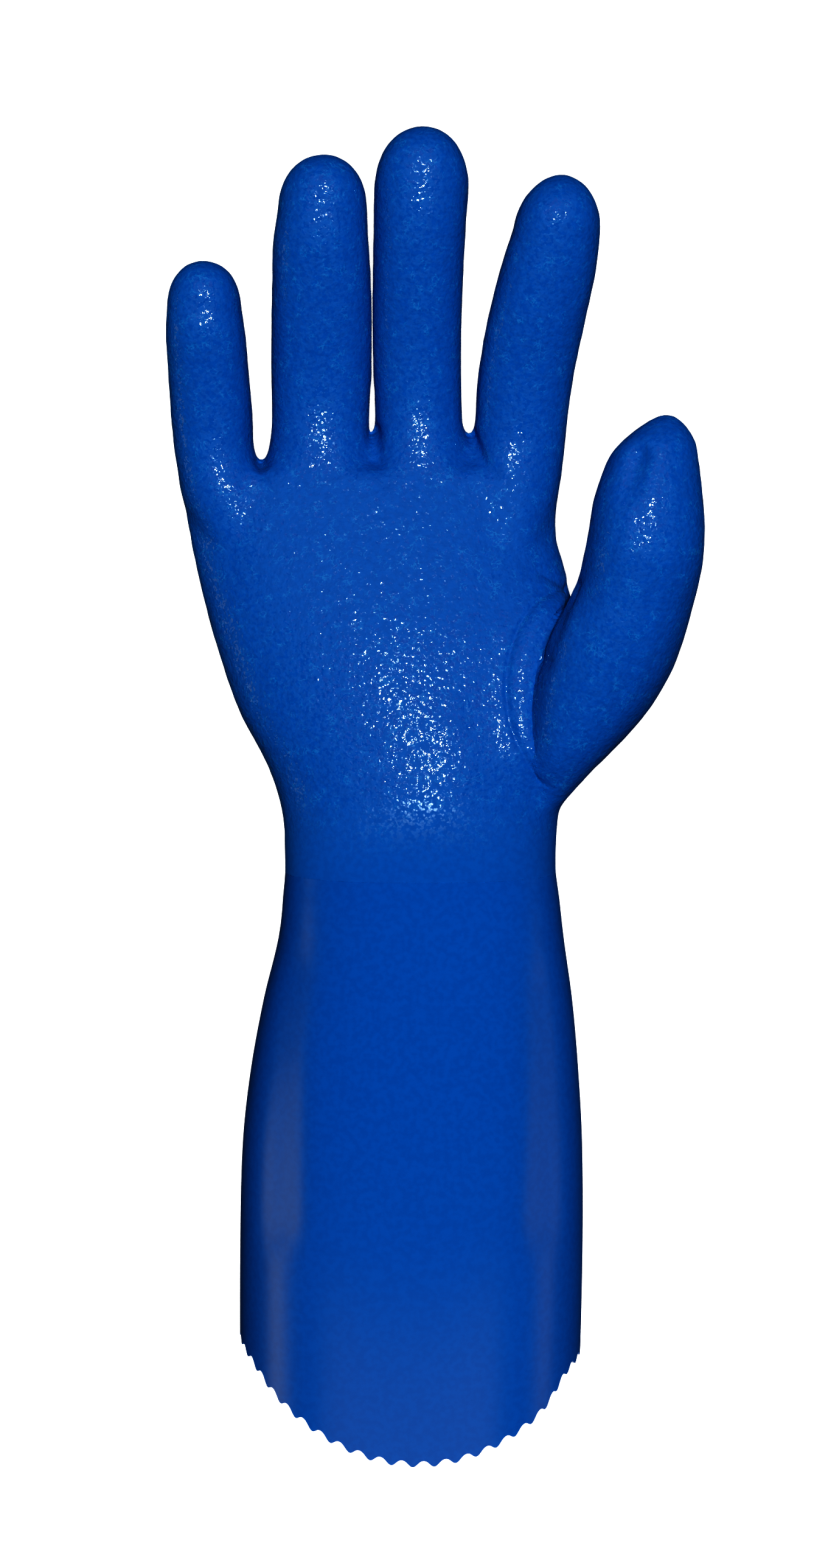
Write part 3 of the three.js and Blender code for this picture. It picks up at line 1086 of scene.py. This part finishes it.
ROUGH_COAT = NitrileFinish(
    "rough_nitrile", roughness=1.0, grain_height=0.00022, crinkle_share=1.0, skin_gloss=0.30,
    speck_gloss=0.61,
)
SMOOTH_COAT = NitrileFinish(
    "smooth_nitrile", roughness=0.32, grain_height=0.0, crinkle_share=0.0, shine=0.08,
    swell_height=0.00002,
)


class Gives(Enum):
    """What a light gives to a surface."""

    ALL = "all"
    COLOUR = "colour"
    SHEEN = "sheen"


@dataclass(frozen=True)
class Lamp:
    """One soft light, aimed at the glove. Without shadows, only what it lights can block it."""

    name: str
    place: Place
    size: Pair
    power: float
    colour: tuple[float, float, float] = (1.0, 1.0, 1.0)
    gives: Gives = Gives.ALL
    shadows: bool = True

    def build(self, aim: Vector, lit: bpy.types.Collection) -> None:
        """Makes the light.

        Args:
            aim: The point that it faces.
            lit: The things that it lights.
        """
        light = bpy.data.lights.new(self.name, "AREA")
        light.shape = "RECTANGLE"
        light.size, light.size_y = self.size
        light.energy = self.power
        light.color = self.colour
        lamp = bpy.data.objects.new(self.name, light)
        bpy.context.scene.collection.objects.link(lamp)
        lamp.location = self.place
        lamp.rotation_euler = (aim - Vector(self.place)).to_track_quat("-Z", "Y").to_euler()
        lamp.visible_diffuse = self.gives is not Gives.SHEEN
        lamp.visible_glossy = self.gives is not Gives.COLOUR
        lamp.light_linking.receiver_collection = lit
        if not self.shadows:
            lamp.light_linking.blocker_collection = lit


@dataclass(frozen=True)
class Studio:
    """Pale floor, soft lights and the camera at the photo's angle."""

    lens: float = 53.47
    aim: Place = (0.0, 0.0, 0.030)
    floor_size: float = 6.0
    floor_drop: float = 0.0002
    floor_roughness: float = 0.9
    floor_colour: Colour = (0.86, 0.86, 0.86, 1.0)
    surround: float = 0.04
    key: Lamp = Lamp("key", (0.10, 0.34, 1.64), (0.13, 0.13), 23.4, gives=Gives.COLOUR)
    sparkle: Lamp = Lamp("sparkle", (0.02, 0.56, 1.60), (0.13, 0.13), 32.0, gives=Gives.SHEEN)
    haze: Lamp = Lamp("haze", (0.0, 0.9, 1.5), (1.60, 1.20), 13.0, (1.0, 0.36, 0.20), Gives.SHEEN)
    heel: Lamp = Lamp("heel_strip", (-1.30, 0.0, 0.20), (0.50, 0.40), 1.6, (1.0, 0.70, 0.40))
    left: Lamp = Lamp(
        "left_strip", (-1.30, -0.40, 0.32), (0.80, 0.42), 12.0, (1.0, 0.56, 0.10), Gives.SHEEN
    )
    right: Lamp = Lamp(
        "right_strip", (1.30, -0.40, 0.32), (0.80, 0.42), 6.5, (1.0, 0.50, 0.10), Gives.SHEEN
    )
    foot: Lamp = Lamp("foot", (0.0, -0.84, 1.45), (2.40, 0.50), 40.0, (1.0, 0.42, 0.14), Gives.SHEEN)
    mouth: Lamp = Lamp("mouth", (0.10, -1.30, 0.20), (0.60, 0.40), 6.0, gives=Gives.COLOUR)
    overhead: Lamp = Lamp("overhead", (0.0, 0.0, 1.80), (1.6, 1.6), 40.0)
    floor_fill: Lamp = Lamp("floor_fill", (0.0, 0.0, 1.80), (1.6, 1.6), 28.0, shadows=False)

    def build(self, hand: bpy.types.Object, cuff: bpy.types.Object) -> None:
        """Makes the floor, the lights and the camera.

        Args:
            hand: The glove's rough skin, with lights of its own.
            cuff: The glove's smooth skin, with lights of its own.
        """
        floor = self.floor()
        self.world()
        aim = Vector(self.aim) + DATUM
        for lamps, piece in (
            ((self.key, self.sparkle, self.haze, self.heel), hand),
            ((self.key, self.left, self.right, self.foot, self.mouth), cuff),
            ((self.overhead, self.floor_fill), floor),
        ):
            lit = self.group(f"{piece.name}_light", piece)
            for lamp in lamps:
                lamp.build(aim, lit)
        self.camera()
        bpy.context.scene.view_settings.view_transform = "Standard"
        bpy.context.scene.view_settings.look = "Very High Contrast"

    def group(self, name: str, piece: bpy.types.Object) -> bpy.types.Collection:
        """A collection of one piece, for the lights that shine on it."""
        group = bpy.data.collections.new(name)
        group.objects.link(piece)
        return group

    def floor(self) -> bpy.types.Object:
        """A plain pale floor."""
        bpy.ops.object.select_all(action="DESELECT")
        place = (0.0, 0.0, -self.floor_drop)
        bpy.ops.mesh.primitive_plane_add(size=self.floor_size, location=place)
        floor = bpy.context.active_object
        floor.name = "floor"
        surface = {"Base Color": self.floor_colour, "Roughness": self.floor_roughness}
        floor.data.materials.append(Shader("floor").finish(surface))
        floor.visible_diffuse = False
        floor.visible_glossy = False
        return floor

    def world(self) -> None:
        """A dim even surround."""
        world = bpy.data.worlds.new("studio")
        bpy.context.scene.world = world
        world.use_nodes = True
        surround = world.node_tree.nodes["Background"].inputs
        surround["Color"].default_value = (1.0, 1.0, 1.0, 1.0)
        surround["Strength"].default_value = self.surround

    def camera(self) -> None:
        """The camera, above the palm and a little towards the fingertips."""
        data = bpy.data.cameras.new("camera")
        data.lens = self.lens
        camera = bpy.data.objects.new("camera", data)
        bpy.context.scene.collection.objects.link(camera)
        camera.location = SIGHT.eye + DATUM
        away = SIGHT.eye - Vector(self.aim)
        camera.rotation_euler = (-math.atan2(away.y, away.z), 0.0, 0.0)
        bpy.context.scene.camera = camera


def dress(piece: bpy.types.Object, finish: NitrileFinish) -> None:
    """Gives a finished piece its material and body, and reports it.

    Args:
        piece: The piece.
        finish: Its finish, named as its material slot in the record.
    """
    piece.data.materials.clear()
    piece.data.materials.append(finish.material())
    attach(piece, "root")
    size = ", ".join(f"{side * 1000:.1f}" for side in piece.dimensions)
    log.info("%s: %d faces, %s mm", piece.name, len(piece.data.polygons), size)


def main() -> None:
    """Builds the two skins of the glove and the studio, and fits them to the frame."""
    logging.basicConfig(level=logging.INFO)
    hand = HandSkin().build()
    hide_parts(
        "hand", "thumb", "index_finger", "middle_finger", "ring_finger", "little_finger"
    )
    dress(hand, ROUGH_COAT)
    cuff = GauntletSkin().build()
    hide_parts("gauntlet")
    dress(cuff, SMOOTH_COAT)
    Studio().build(hand, cuff)


if __name__ == "__main__":
    main()
